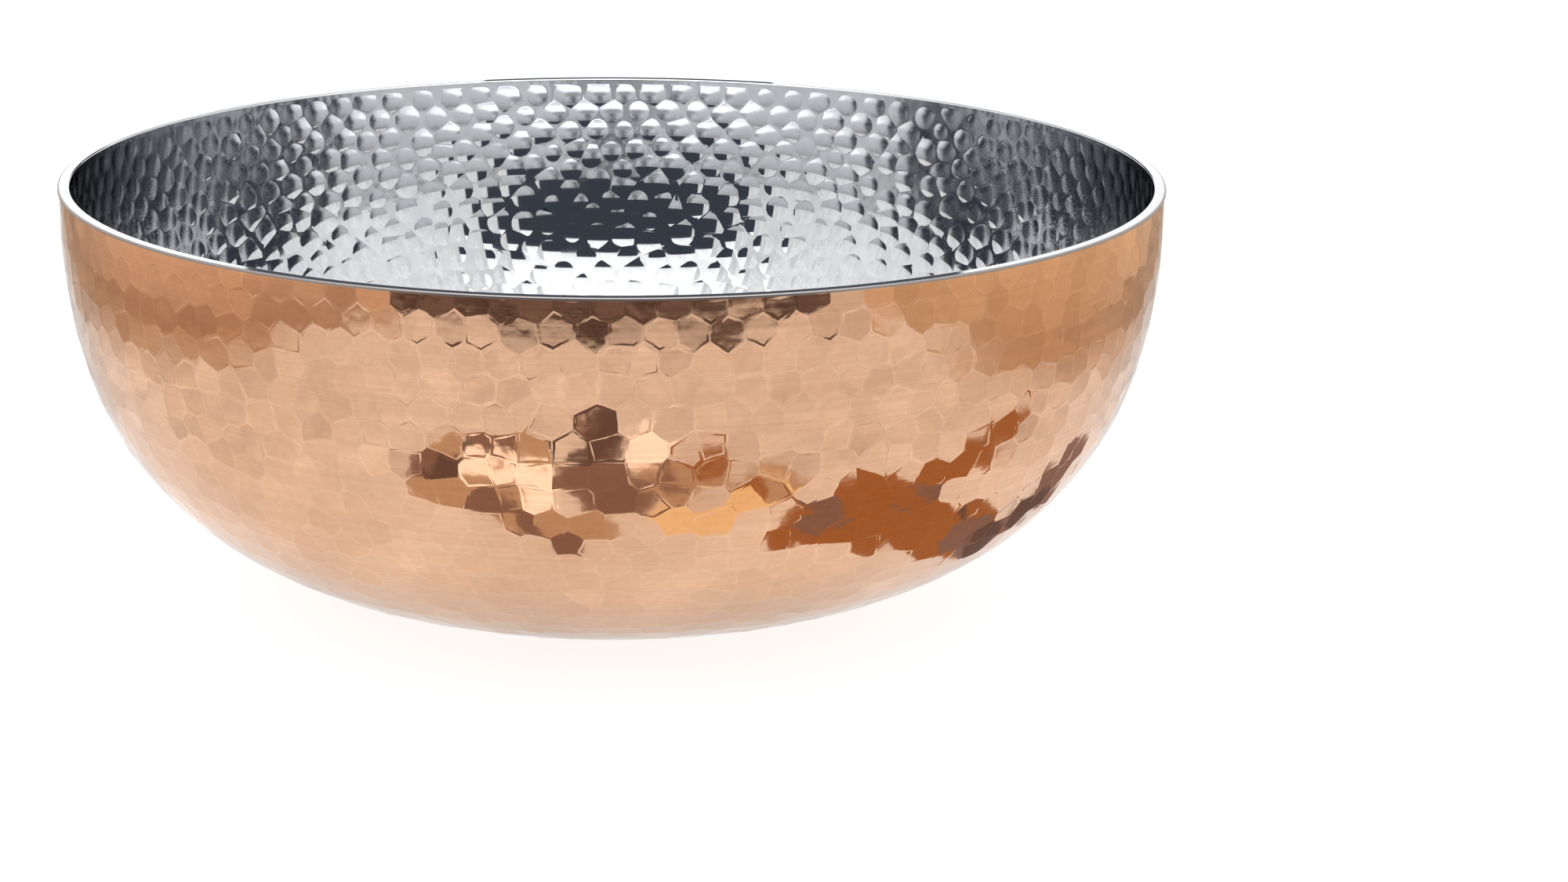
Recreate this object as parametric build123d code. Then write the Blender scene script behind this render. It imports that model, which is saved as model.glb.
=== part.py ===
"""Hammered copper serving bowl with a bright steel lining.

The bowl is a double wall. A raised copper shell is the outside, and a thinner steel shell lines it.
The top of the steel turns out over a wire hoop and down over the copper's edge, which makes the lip.
Solder seals that fold, and a plug closes the vent hole under the base.

Millimetres, +Z up. The origin is on the bowl's axis, on the plane that the bowl stands on.
"""
import os
from math import cos, radians, sin

from build123d import *

# Driving dimensions of the whole bowl
BOWL_DIAMETER = 330.0
BOWL_HEIGHT = 125.0

# Sheets and the space between them
COPPER_SHEET = 0.9
STEEL_SHEET = 0.5
WALL_GAP = 1.68
FIT = 0.02

# The outside wall is three tangent arcs, from the base up to a short upright band
BASE_ARC = 155.0
CORNER_ARC = 93.0
WALL_ARC = 155.0
CORNER_STARTS = 24.0
CORNER_ENDS = 75.0

# Lip: steel folded over the copper's edge
LIP_DROP = 0.8
LIP_ROUND = 0.6

# Underside: the middle is pushed up, so that the bowl stands on a ring
RECESS_RADIUS = 34.0
RECESS_SLOPE = 4.0
RECESS_DEPTH = 1.2

# Hidden parts of the rim, and the vent plug
WIRE_DIAMETER = 1.6
SOLDER_WIDTH = 0.5
SOLDER_ROOM = 0.2
VENT_DIAMETER = 4.0
PLUG_HEAD_DIAMETER = 8.0
PLUG_HEAD_HEIGHT = 0.6

# Worked out from the above
LIP_RADIUS = BOWL_DIAMETER / 2
COPPER_RADIUS = LIP_RADIUS - STEEL_SHEET - FIT
STEEL_DEPTH = COPPER_SHEET + WALL_GAP
LINING_DEPTH = STEEL_DEPTH + STEEL_SHEET
CROWN_UNDERSIDE = BOWL_HEIGHT - STEEL_SHEET
COPPER_TOP = CROWN_UNDERSIDE - SOLDER_ROOM
BEND_HEIGHT = BOWL_HEIGHT - LIP_ROUND


def outward(angle):
    """Direction, in the section plane, from an arc's centre to its point at this slope."""
    return Vector(sin(radians(angle)), -cos(radians(angle)))


WALL_CENTRE_RADIUS = COPPER_RADIUS - WALL_ARC
CORNER_CENTRE_RADIUS = WALL_CENTRE_RADIUS + (WALL_ARC - CORNER_ARC) * sin(radians(CORNER_ENDS))
BASE_RADIUS = CORNER_CENTRE_RADIUS - (BASE_ARC - CORNER_ARC) * sin(radians(CORNER_STARTS))
BASE_CENTRE = Vector(BASE_RADIUS, BASE_ARC)
CORNER_CENTRE = BASE_CENTRE + outward(CORNER_STARTS) * (BASE_ARC - CORNER_ARC)
WALL_CENTRE = CORNER_CENTRE + outward(CORNER_ENDS) * (CORNER_ARC - WALL_ARC)


def arc(centre, radius, starts, ends):
    """Arc of the wall between two slopes, counted up from level."""
    return CenterArc((centre.X, centre.Y), radius, starts - 90, ends - starts)


def wall_line(depth, top):
    """The wall's section, this deep inside the copper's outer face, from the base to the height top."""
    base = arc(BASE_CENTRE, BASE_ARC - depth, 0, CORNER_STARTS)
    corner = arc(CORNER_CENTRE, CORNER_ARC - depth, CORNER_STARTS, CORNER_ENDS)
    wall = arc(WALL_CENTRE, WALL_ARC - depth, CORNER_ENDS, 90)
    band = Line(wall @ 1, (COPPER_RADIUS - depth, top))
    return [base, corner, wall, band]


def turned(section):
    """Solid of revolution about the bowl's axis, from a closed section."""
    return revolve(Plane.XZ * make_face(section), Axis.Z)


def copper_base_line(depth):
    """Underside of the copper, from the recess in the middle out to the ring it stands on."""
    raised = RECESS_DEPTH + depth
    slope_end = RECESS_RADIUS + RECESS_SLOPE
    return Polyline((0, raised), (RECESS_RADIUS, raised), (slope_end, depth), (BASE_RADIUS, depth))


def outer_shell():
    """Copper sheet raised to the bowl's outside, with the vent hole in its base."""
    outside = wall_line(0, COPPER_TOP)
    inside = wall_line(COPPER_SHEET, COPPER_TOP)
    edge = Line(outside[-1] @ 1, inside[-1] @ 1)
    axis_line = Line((0, RECESS_DEPTH), (0, RECESS_DEPTH + COPPER_SHEET))
    section = [copper_base_line(0), *outside, edge, *inside, copper_base_line(COPPER_SHEET), axis_line]
    vent = Cylinder(VENT_DIAMETER / 2, BOWL_HEIGHT)
    return turned(section) - vent


def lip_lines():
    """The lip's section, from the lining's upright band over the crown and back under the fold."""
    fold = LIP_ROUND - STEEL_SHEET
    skirt_end = BOWL_HEIGHT - LIP_DROP
    skirt_back = LIP_RADIUS - STEEL_SHEET
    inner_bend = COPPER_RADIUS - LINING_DEPTH + LIP_ROUND
    outer_bend = LIP_RADIUS - LIP_ROUND
    return [
        CenterArc((inner_bend, BEND_HEIGHT), LIP_ROUND, 180, -90),
        Line((inner_bend, BOWL_HEIGHT), (outer_bend, BOWL_HEIGHT)),
        CenterArc((outer_bend, BEND_HEIGHT), LIP_ROUND, 90, -90),
        Polyline((LIP_RADIUS, BEND_HEIGHT), (LIP_RADIUS, skirt_end), (skirt_back, skirt_end),
                 (skirt_back, BEND_HEIGHT)),
        CenterArc((outer_bend, BEND_HEIGHT), fold, 0, 90),
        Line((outer_bend, CROWN_UNDERSIDE), (inner_bend, CROWN_UNDERSIDE)),
        CenterArc((inner_bend, BEND_HEIGHT), fold, 90, 90),
    ]


def inner_shell():
    """Steel lining, with its top folded out into the lip."""
    lining = wall_line(LINING_DEPTH, BEND_HEIGHT)
    back = wall_line(STEEL_DEPTH, BEND_HEIGHT)
    floor = Line((0, LINING_DEPTH), (BASE_RADIUS, LINING_DEPTH))
    floor_back = Line((0, STEEL_DEPTH), (BASE_RADIUS, STEEL_DEPTH))
    axis_line = Line((0, STEEL_DEPTH), (0, LINING_DEPTH))
    return turned([floor, *lining, *lip_lines(), *back, floor_back, axis_line])


def rim_wire():
    """Round steel hoop that fills the fold and stiffens the lip."""
    radius = WIRE_DIAMETER / 2
    centre = COPPER_RADIUS - COPPER_SHEET - WALL_GAP / 2
    return Pos(0, 0, CROWN_UNDERSIDE - radius - FIT) * Torus(centre, radius)


def seam_solder():
    """Ring of solder over the copper's edge, under the crown of the lip."""
    outside = LIP_RADIUS - LIP_ROUND
    height = CROWN_UNDERSIDE - COPPER_TOP - 2 * FIT
    middle = Pos(0, 0, (CROWN_UNDERSIDE + COPPER_TOP) / 2)
    return middle * (Cylinder(outside, height) - Cylinder(outside - SOLDER_WIDTH, height))


def vent_plug():
    """Round-headed plug in the vent hole, within the recess under the base."""
    shank_radius = VENT_DIAMETER / 2 - FIT
    shank = Cylinder(shank_radius, COPPER_SHEET + FIT, align=(Align.CENTER, Align.CENTER, Align.MIN))
    head = Cylinder(PLUG_HEAD_DIAMETER / 2, PLUG_HEAD_HEIGHT, align=(Align.CENTER, Align.CENTER, Align.MAX))
    head = fillet(head.edges().group_by(Axis.Z)[0], PLUG_HEAD_HEIGHT / 2)
    return Pos(0, 0, RECESS_DEPTH - FIT) * (shank + head)


PIECES = [outer_shell, inner_shell, rim_wire, seam_solder, vent_plug]

os.makedirs("parts", exist_ok=True)
for piece in PIECES:
    export_step(piece(), f"parts/{piece.__name__}.step")
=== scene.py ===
from math import cos, pi, radians, sin

import bpy
import numpy as np
from mathutils import Euler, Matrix, Vector, geometry, kdtree


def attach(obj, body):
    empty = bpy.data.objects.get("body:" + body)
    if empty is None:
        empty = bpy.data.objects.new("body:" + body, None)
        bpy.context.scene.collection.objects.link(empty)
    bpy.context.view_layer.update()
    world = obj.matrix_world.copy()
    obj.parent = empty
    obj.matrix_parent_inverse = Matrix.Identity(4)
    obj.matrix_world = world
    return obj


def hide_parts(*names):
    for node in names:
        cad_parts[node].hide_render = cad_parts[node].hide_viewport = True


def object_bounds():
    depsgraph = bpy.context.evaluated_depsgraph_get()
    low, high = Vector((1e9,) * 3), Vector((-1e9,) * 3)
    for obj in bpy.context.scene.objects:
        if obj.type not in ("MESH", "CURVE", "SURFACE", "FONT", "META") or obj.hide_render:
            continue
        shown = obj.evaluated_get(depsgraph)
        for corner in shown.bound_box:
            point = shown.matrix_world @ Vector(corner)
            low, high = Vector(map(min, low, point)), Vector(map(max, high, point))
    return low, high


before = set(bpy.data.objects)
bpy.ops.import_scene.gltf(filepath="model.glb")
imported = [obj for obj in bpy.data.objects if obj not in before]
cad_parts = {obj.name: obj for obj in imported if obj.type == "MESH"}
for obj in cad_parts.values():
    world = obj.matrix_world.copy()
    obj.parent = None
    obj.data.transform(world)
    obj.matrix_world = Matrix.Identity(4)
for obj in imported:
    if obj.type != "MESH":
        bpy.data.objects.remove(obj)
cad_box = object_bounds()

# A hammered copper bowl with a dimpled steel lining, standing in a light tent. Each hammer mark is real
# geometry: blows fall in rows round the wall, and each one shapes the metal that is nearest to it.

MM = 0.001
FULL_TURN = 2 * pi
TINY = 1e-12

# The bowl's section, as in the CAD model
BASE_ARC = 155 * MM
CORNER_ARC = 93 * MM
WALL_ARC = 155 * MM
CORNER_STARTS = radians(24)
CORNER_ENDS = radians(75)
COPPER_SHEET = 0.9 * MM
STEEL_SHEET = 0.5 * MM
WALL_GAP = 1.68 * MM
FIT = 0.02 * MM
LIP_DROP = 0.8 * MM
LIP_ROUND = 0.6 * MM
SOLDER_ROOM = 0.2 * MM
RECESS_RADIUS = 34 * MM
RECESS_SLOPE = 4 * MM
RECESS_DEPTH = 1.2 * MM
VENT_RADIUS = 2 * MM
LIP_RADIUS = cad_box[1].x
BOWL_HEIGHT = cad_box[1].z
COPPER_RADIUS = LIP_RADIUS - STEEL_SHEET - FIT
COPPER_TOP = BOWL_HEIGHT - STEEL_SHEET - SOLDER_ROOM
LIP_BOTTOM = BOWL_HEIGHT - LIP_DROP
SLOPE_END = RECESS_RADIUS + RECESS_SLOPE
RECESS_TOP = RECESS_DEPTH + COPPER_SHEET
STEEL_DEPTH = COPPER_SHEET + WALL_GAP
LINING_DEPTH = STEEL_DEPTH + STEEL_SHEET
LINING_RADIUS = COPPER_RADIUS - LINING_DEPTH
BEND_HEIGHT = BOWL_HEIGHT - LIP_ROUND
INNER_BEND = LINING_RADIUS + LIP_ROUND
OUTER_BEND = LIP_RADIUS - LIP_ROUND
WALL_CENTRE = COPPER_RADIUS - WALL_ARC
CORNER_CENTRE = WALL_CENTRE + (WALL_ARC - CORNER_ARC) * sin(CORNER_ENDS)
BASE_RADIUS = CORNER_CENTRE - (BASE_ARC - CORNER_ARC) * sin(CORNER_STARTS)
CORNER_CENTRE_HEIGHT = BASE_ARC - (BASE_ARC - CORNER_ARC) * cos(CORNER_STARTS)
WALL_CENTRE_HEIGHT = CORNER_CENTRE_HEIGHT - (CORNER_ARC - WALL_ARC) * cos(CORNER_ENDS)

# Hammer marks on the copper: nearly flat facets with narrow raised edges
FACET_PITCH = 9.0 * MM
FACET_ROW = 7.8 * MM
FACETS_UNDER_LIP = 0.4
FACET_STRAY = 1.7 * MM
FACET_UNEVEN = 0.085 * MM
FACET_TILT = 0.010
FACET_CREST = 0.020 * MM
FACET_CREST_SPREAD = 0.016 * MM
FACETS_START = BASE_RADIUS + 2 * MM
FACETS_BEHIND_LIP = 0.03 * MM

# Width of a facet's edge, and the largest share that it takes of the way to the facet's middle
FACET_EDGE = 1.1 * MM
FACET_EDGE_SHARE = 0.4

# Hammer marks on the steel: round dimples with flat metal between them
DIMPLE_PITCH = 10.0 * MM
DIMPLE_ROW = 6.2 * MM
DIMPLE_STRAY = 2.0 * MM
DIMPLE_RADIUS = 4.1 * MM
DIMPLE_RADIUS_SPREAD = 0.5 * MM
DIMPLE_DEPTH = 0.26 * MM
DIMPLE_DEPTH_SPREAD = 0.15
DEEPEST_DIMPLE = 0.40 * MM
DIMPLE_EDGE = 0.4 * MM
DIMPLE_UNEVEN = 0.012 * MM
DIMPLE_POINTS = 16
DIMPLES_START = 5 * MM
PLAIN_BAND = 1.8 * MM

# Rings of a dimple: largest shares of the room in its cell, and the middle one's share of its radius
BRIM_SHARE = 0.93
LIP_SHARE = 0.86
MIDDLE_SHARE = 0.45

# The hammering is lighter and more even near the rim
CALM_ROWS = 4
CALM_REACH = 22 * MM
CALMEST = 0.6
CALM_STRAY = 0.5

# How much less blows stray up and down, how far they keep from the wall's ends, and least side of a mark
STRAY_UP = 0.7
ROW_MARGIN = 0.3
SHORTEST_SIDE = 0.9 * MM

# How finely the sections are cut up
FACE_STEPS = 60
LINING_BACK_STEPS = 24
COPPER_BACK_STEPS = 8
LIP_STEPS = 8
FOLD_STEPS = 4
STRIP_SAMPLES = 3000

# How near their corners the points of straight parts are, and the discs that close the lining's middle
CRISP = 0.12 * MM
CRISP_SLOPE = 0.5 * MM
CRISP_SKIRT = 0.05 * MM
CRISP_TOP = 0.02 * MM
LINING_DISC = 4 * MM
BACK_DISC = 0.5 * MM

# Tone of a face: from 0 to 1 on hammer marks, and these elsewhere. The crest tone paints a highlight on the
# facets' raised edges
PLAIN_TONE = 0.5
CREST_HIGHLIGHT_TONE = 1.5
# The lining's hidden back, the lip's outer bend and its skirt take this tone: darker, duller steel that
# paints the shade of the seam under the lip
SKIRT_SHADE_TONE = 2.0


# ---- sections

def bend(centre, height, radius, starts, ends, steps):
    """Arc of a section, as rows of radius from the axis, height and direction of travel."""
    angle = np.linspace(starts, ends, steps)
    quarter = pi / 2 if ends > starts else -pi / 2
    away, up = centre + radius * np.cos(angle), height + radius * np.sin(angle)
    return np.stack([away, up, angle + quarter], axis=1)


def run(start, end, corner=CRISP):
    """Straight part of a section, a little short of its ends so that its corners stay crisp."""
    start, end = np.array(start), np.array(end)
    along = (end - start) / np.hypot(*(end - start))
    direction = np.arctan2(along[1], along[0])
    first, last = start + along * corner, end - along * corner
    return np.array([(*first, direction), (*last, direction)])


def wall_section(depth, steps):
    """The three arcs of the wall, this deep inside the copper's outer face, from the base up."""
    down = -pi / 2
    base = bend(BASE_RADIUS, BASE_ARC, BASE_ARC - depth, down, down + CORNER_STARTS, steps)
    corner = bend(CORNER_CENTRE, CORNER_CENTRE_HEIGHT, CORNER_ARC - depth,
                  down + CORNER_STARTS, down + CORNER_ENDS, steps)
    wall = bend(WALL_CENTRE, WALL_CENTRE_HEIGHT, WALL_ARC - depth, down + CORNER_ENDS, 0, steps)
    return np.concatenate([base, corner[1:], wall[1:]])


def backwards(section):
    """The same section, travelled the other way."""
    return section[::-1] + (0, 0, pi)


class Wall:
    """One face of the bowl laid out as a strip. turn is the angle about the axis. climb goes up from the
    base at the scale of turn, so that a mark that is round on the strip is round on the bowl."""

    def __init__(self, section):
        steps = np.hypot(np.diff(section[:, 0]), np.diff(section[:, 1]))
        rough = np.concatenate([[0], np.cumsum(steps)])
        self.along = np.linspace(0, rough[-1], STRIP_SAMPLES)
        self.radius, self.height, self.slope = (np.interp(self.along, rough, column) for column in section.T)
        scale = 1 / self.radius
        self.climb = np.concatenate([[0], np.cumsum(np.diff(self.along) * (scale[1:] + scale[:-1]) / 2)])
        self.length = self.along[-1]
        self.top = self.climb[-1]

    def climb_at(self, along):
        return np.interp(along, self.along, self.climb)

    def along_at(self, climb):
        return np.interp(climb, self.climb, self.along)

    def radius_at(self, climb):
        return np.interp(climb, self.climb, self.radius)

    def place(self, turn, climb):
        """Points of the face, and the directions straight out of the bowl there."""
        radius = self.radius_at(climb)
        height = np.interp(climb, self.climb, self.height)
        slope = np.interp(climb, self.climb, self.slope)
        return round_the_axis(turn, radius, height), round_the_axis(turn, np.sin(slope), -np.cos(slope))

    def flatten(self, centre, turn, climb):
        """Places of strip points about a centre, in metres on the sheet laid flat there."""
        across = (turn - centre[0]) * self.radius_at(climb)
        up = self.along_at(climb) - self.along_at(centre[1])
        return np.stack([across, up], axis=-1)

    def unflatten(self, centre, flat):
        """Turn and climb of places on the sheet laid flat about a centre."""
        climb = self.climb_at(self.along_at(centre[1]) + flat[:, 1])
        return centre[0] + flat[:, 0] / self.radius_at(climb), climb


def round_the_axis(turn, radius, height):
    """Points at these turns about the bowl's axis."""
    return np.stack([radius * np.cos(turn), radius * np.sin(turn), height + 0 * turn], axis=-1)


# ---- where the hammer fell

def force(wall, climb):
    """How hard the hammer fell at this climb: 1 on most of the wall, and less near the rim."""
    return np.clip((wall.top - climb) * wall.radius[-1] / CALM_REACH, CALMEST, 1)


def hammer_blows(wall, pitch, row_pitch, stray, rng, covered=0.0):
    """Turn and climb of each blow, in rows round the bowl. The rows nearest the rim are the most even.
    covered is the part of the top row that would lie past the wall's end."""
    rows = round(wall.length / row_pitch)
    blows = []
    for row in range(rows):
        climb = wall.climb_at(wall.length * (row + 0.5) / (rows - covered))
        radius = wall.radius_at(climb)
        count = max(4, round(FULL_TURN * radius / pitch))
        calm = min(1.0, CALM_STRAY + (1 - CALM_STRAY) * (rows - 1 - row) / CALM_ROWS)
        spread = stray * calm / radius
        turns = (np.arange(count) + 0.5 * (row % 2)) * FULL_TURN / count + rng.normal(0, spread, count)
        climbs = climb + rng.normal(0, STRAY_UP * spread, count)
        margin = (ROW_MARGIN - 0.5 * covered) * row_pitch / radius
        blows.append(np.stack([turns % FULL_TURN, np.clip(climbs, margin, wall.top - margin)], axis=1))
    return np.concatenate(blows)


def circumcentre(a, b, c):
    """The point as far from each of three others."""
    side_b, side_c = b - a, c - a
    twice_area = 2 * (side_b[0] * side_c[1] - side_b[1] * side_c[0])
    square_b, square_c = side_b @ side_b, side_c @ side_c
    across = side_c[1] * square_b - side_b[1] * square_c
    up = side_b[0] * square_c - side_c[0] * square_b
    return a + np.array([across, up]) / twice_area


def with_neighbours(wall, blows):
    """The blows, then copies past the strip's edges: mirrored at its base and rim, repeated at its ends."""
    margin = 0.4
    count = len(blows)
    owners = np.arange(count)
    low = blows[:, 1] < margin
    high = blows[:, 1] > wall.top - margin
    points = np.concatenate([blows, blows[low] * (1, -1), blows[high] * (1, -1) + (0, 2 * wall.top)])
    owners = np.concatenate([owners, owners[low] + count, owners[high] + 2 * count])
    start = points[:, 0] < margin
    end = points[:, 0] > FULL_TURN - margin
    points = np.concatenate([points, points[start] + (FULL_TURN, 0), points[end] - (FULL_TURN, 0)])
    return points, np.concatenate([owners, owners[start], owners[end]])


def merge_near(wall, corners, on_edge):
    """For each corner, the one that stands for it, so that no two are nearly in one place."""
    places, _ = wall.place(corners[:, 0], corners[:, 1])
    tree = kdtree.KDTree(len(places))
    for index, place in enumerate(places):
        tree.insert(place, index)
    tree.balance()
    stands_in = np.full(len(places), -1)
    for index in np.argsort(~on_edge, kind="stable"):
        if stands_in[index] < 0:
            near = [other for _, other, _ in tree.find_range(places[index], SHORTEST_SIDE)]
            free = [other for other in near if stands_in[other] < 0]
            stands_in[free] = index
    return stands_in


def voronoi_cells(wall, blows):
    """Splits the strip between the blows. Returns the corners and, for each blow, its corners in order."""
    points, owners = with_neighbours(wall, blows)
    same_point = 1e-9
    result = geometry.delaunay_2d_cdt([Vector(point) for point in points], [], [], 0, same_point)
    source = [origins[0] for origins in result[3]]
    corners, names = [], {}
    around = [[] for _ in blows]
    for triangle in result[2]:
        inputs = [source[vertex] for vertex in triangle]
        own = [index for index in inputs if index < len(blows)]
        if not own:
            continue
        centre = circumcentre(*points[inputs])
        name = tuple(sorted(owners[inputs]))
        if name not in names:
            names[name] = len(corners)
            corners.append(centre)
        for index in own:
            offset = centre - points[index]
            around[index].append((np.arctan2(offset[1], offset[0]), names[name]))
    corners = np.array(corners)
    edge = 1e-5
    low, high = corners[:, 1] < edge, corners[:, 1] > wall.top - edge
    corners[low, 1] = 0
    corners[high, 1] = wall.top
    stands_in = merge_near(wall, corners, low | high)
    cells = []
    for ring in around:
        ordered = [int(stands_in[corner]) for _, corner in sorted(ring)]
        cells.append([corner for n, corner in enumerate(ordered) if corner != ordered[n - 1]])
    return corners, cells


# ---- mesh building

class Skin:
    """Points, their normals and the faces between them, collected for one mesh."""

    def __init__(self):
        self.points, self.normals, self.faces, self.tones = [], [], [], []
        self.tone = PLAIN_TONE

    def add(self, points, normals):
        first = len(self.points)
        self.points.extend(points)
        self.normals.extend(normals)
        return list(range(first, len(self.points)))

    def face(self, corners, flip=False):
        self.faces.append(tuple(corners[::-1]) if flip else tuple(corners))
        self.tones.append(self.tone)

    def bridge(self, lower, upper, flip=False):
        """Quads between two closed loops with as many points."""
        for n in range(len(lower)):
            self.face((lower[n - 1], lower[n], upper[n], upper[n - 1]), flip)

    def zip(self, lower, lower_angles, upper, upper_angles, flip=False):
        """Triangles between two closed loops, each in order of angle."""
        low, high = 0, 0
        lower_next = np.append(lower_angles[1:], lower_angles[0] + FULL_TURN)
        upper_next = np.append(upper_angles[1:], upper_angles[0] + FULL_TURN)
        while low < len(lower) or high < len(upper):
            here, there = lower[low % len(lower)], upper[high % len(upper)]
            if high == len(upper) or (low < len(lower) and lower_next[low] <= upper_next[high]):
                low += 1
                self.face((here, lower[low % len(lower)], there), flip)
            else:
                high += 1
                self.face((here, upper[high % len(upper)], there), flip)

    def fan(self, loop, tip, flip=False):
        """Triangles from a closed loop to one point."""
        for n in range(len(loop)):
            self.face((loop[n - 1], loop[n], tip), flip)

    def lathe(self, section, turns):
        """Rings of points for each row of a section, joined up. Returns the first and last ring."""
        rings = []
        for radius, height, direction in section:
            points = round_the_axis(turns, radius, height)
            rings.append(self.add(points, round_the_axis(turns, sin(direction), -cos(direction))))
        for lower, upper in zip(rings, rings[1:]):
            self.bridge(lower, upper)
        return rings[0], rings[-1]

    def build(self, name, material):
        mesh = bpy.data.meshes.new(name)
        mesh.from_pydata([(x, y, max(z, 0)) for x, y, z in self.points], [], self.faces)
        mesh.polygons.foreach_set("use_smooth", [True] * len(mesh.polygons))
        mesh.materials.append(material)
        mesh.attributes.new("tone", "FLOAT", "FACE").data.foreach_set("value", self.tones)
        mesh.normals_split_custom_set_from_vertices([Vector(normal).normalized() for normal in self.normals])
        piece = bpy.data.objects.new(name, mesh)
        bpy.context.collection.objects.link(piece)
        return piece


class Facet:
    """A blow of the flat hammer: the plane that best fits its corners."""

    uneven = FACET_UNEVEN

    def __init__(self, wall, corners, lifts, rng):
        places, outward = wall.place(corners[:, 0], corners[:, 1])
        places = places + outward * lifts[:, None]
        self.point = places.mean(axis=0)
        self.normal = np.linalg.svd(places - self.point)[2][2]
        self.normal *= np.sign(self.normal @ outward.mean(axis=0))
        self.normal += rng.normal(0, FACET_TILT * force(wall, corners[:, 1].mean()), 3)
        self.normal /= np.linalg.norm(self.normal)

    def shape(self, points, outward):
        """How far out of the bowl the mark lies from points of the plain wall, and its normals there."""
        lift = ((self.point - points) @ self.normal) / (outward @ self.normal)
        return lift, np.broadcast_to(self.normal, points.shape)


class Dimple:
    """A blow of the round hammer: a shallow cap pushed out of the bowl, with flat metal round it."""

    uneven = DIMPLE_UNEVEN

    def __init__(self, wall, corners, lifts, rng):
        point, outward = wall.place(*corners.mean(axis=0)[:, None])
        self.point, self.outward, self.level = point[0], outward[0], lifts.mean()
        self.radius = DIMPLE_RADIUS + rng.normal(0, DIMPLE_RADIUS_SPREAD)
        blow = rng.normal(1, DIMPLE_DEPTH_SPREAD) * (self.radius / DIMPLE_RADIUS) ** 2
        self.depth = min(DIMPLE_DEPTH * blow, DEEPEST_DIMPLE)

    def shape(self, points, outward):
        offset = points - self.point
        offset = offset - np.outer(offset @ self.outward, self.outward)
        inside = 1 - (offset ** 2).sum(axis=1) / self.radius ** 2
        lift = self.level + self.depth * np.maximum(inside, 0)
        steepness = np.where(inside > 0, 2 * self.depth / self.radius ** 2, 0)
        return lift, -outward - offset * steepness[:, None]


def cell_sides(corners, cell, blow):
    """Turn and climb of a cell's corners and of the middle of each side, with a name for each point."""
    turns = corners[cell, 0]
    turns = blow[0] + (turns - blow[0] + pi) % FULL_TURN - pi
    climbs = corners[cell, 1]
    points, names = [], []
    for n, corner in enumerate(cell):
        after = (n + 1) % len(cell)
        points.append((turns[n], climbs[n]))
        names.append((corner,))
        points.append(((turns[n] + turns[after]) / 2, (climbs[n] + climbs[after]) / 2))
        names.append(tuple(sorted((corner, cell[after]))))
    return np.array(points), names


def distance_to_sides(flat, angles):
    """How far the cell's outline is from its middle, in each direction."""
    along = np.roll(flat, -1, axis=0) - flat
    normals = np.stack([along[:, 1], -along[:, 0]], axis=1)
    reach = (normals * flat).sum(axis=1)
    towards = np.stack([np.cos(angles), np.sin(angles)], axis=1) @ normals.T
    return np.where(towards > TINY, reach / np.maximum(towards, TINY), np.inf).min(axis=1)


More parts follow.
